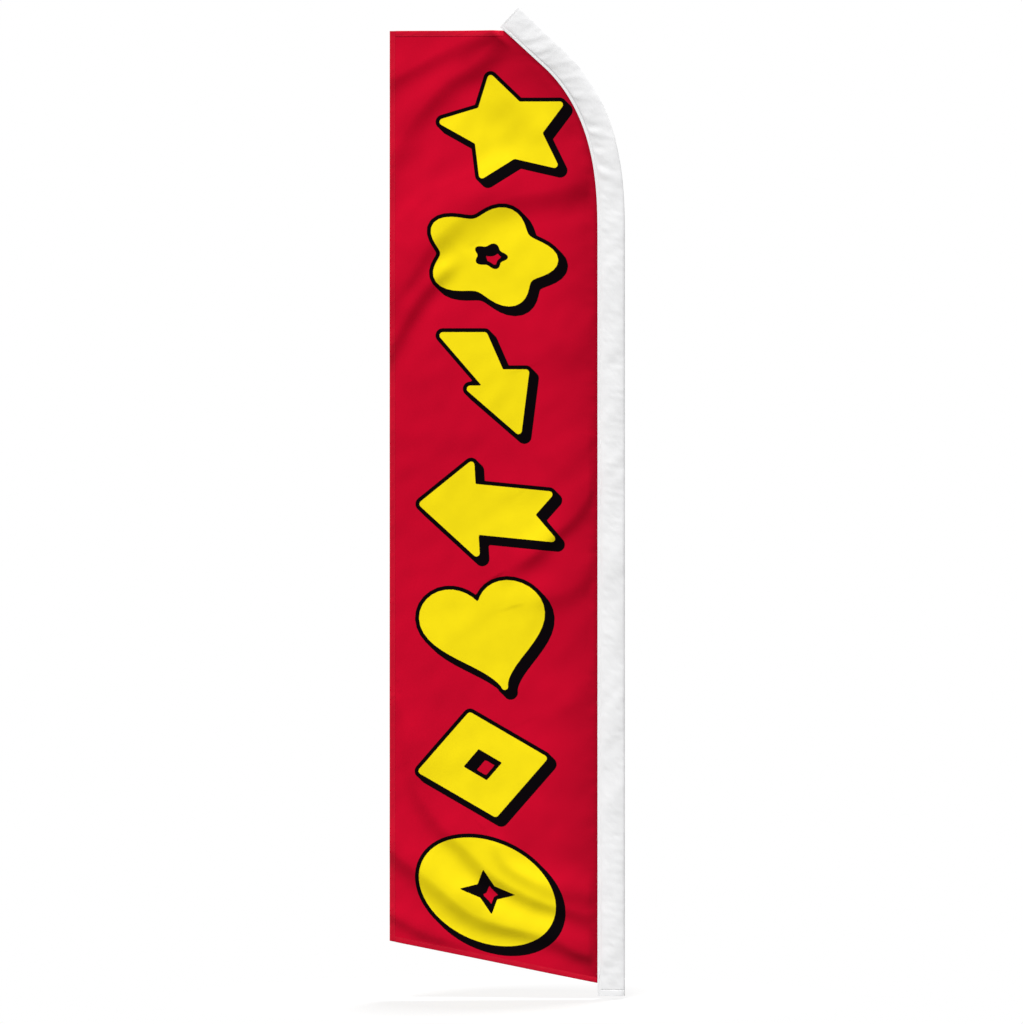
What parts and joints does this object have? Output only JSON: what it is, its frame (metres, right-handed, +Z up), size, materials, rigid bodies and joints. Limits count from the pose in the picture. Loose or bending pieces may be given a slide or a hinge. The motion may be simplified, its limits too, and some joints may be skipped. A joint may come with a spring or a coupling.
{
  "type": "feather flag",
  "caption": "Tall feather flag without its pole: a red printed cloth panel with a slanted foot, sewn into a white pole sleeve that bends over the top corner.",
  "frame": {"origin": "middle of the pole sleeve's open mouth, in the plane of its rim", "axes": "+Z up the straight run of the sleeve, +X from the panel towards the sleeve's outer fold, -Y the face that the hems are turned to"},
  "size_m": [0.8638, 0.0362, 3.6276],
  "materials": {
    "printed_panel": "matte knitted polyester, dye printed",
    "sleeve_cloth": "matte woven polyester",
    "webbing": "matte webbing",
    "red_thread": "spun polyester thread",
    "white_thread": "spun polyester thread"
  },
  "bodies": {
    "root": {"flag_panel": "printed_panel", "fly_hem": "printed_panel", "top_hem": "printed_panel", "foot_hem": "printed_panel", "pole_sleeve": "sleeve_cloth", "sleeve_mouth_hem": "sleeve_cloth", "pole_tip_pocket": "webbing", "fly_hem_needle_thread": "red_thread", "fly_hem_bobbin_thread": "red_thread", "top_hem_needle_thread": "red_thread", "top_hem_bobbin_thread": "red_thread", "foot_hem_needle_thread": "red_thread", "foot_hem_bobbin_thread": "red_thread", "sleeve_seam_inner_needle_thread": "white_thread", "sleeve_seam_inner_bobbin_thread": "white_thread", "sleeve_seam_outer_needle_thread": "white_thread", "sleeve_seam_outer_bobbin_thread": "white_thread", "sleeve_mouth_needle_thread": "white_thread", "sleeve_mouth_bobbin_thread": "white_thread", "sleeve_top_front_thread": "white_thread", "sleeve_top_back_thread": "white_thread", "top_bar_tack": "white_thread", "foot_bar_tack": "white_thread"}
  },
  "joints": []
}
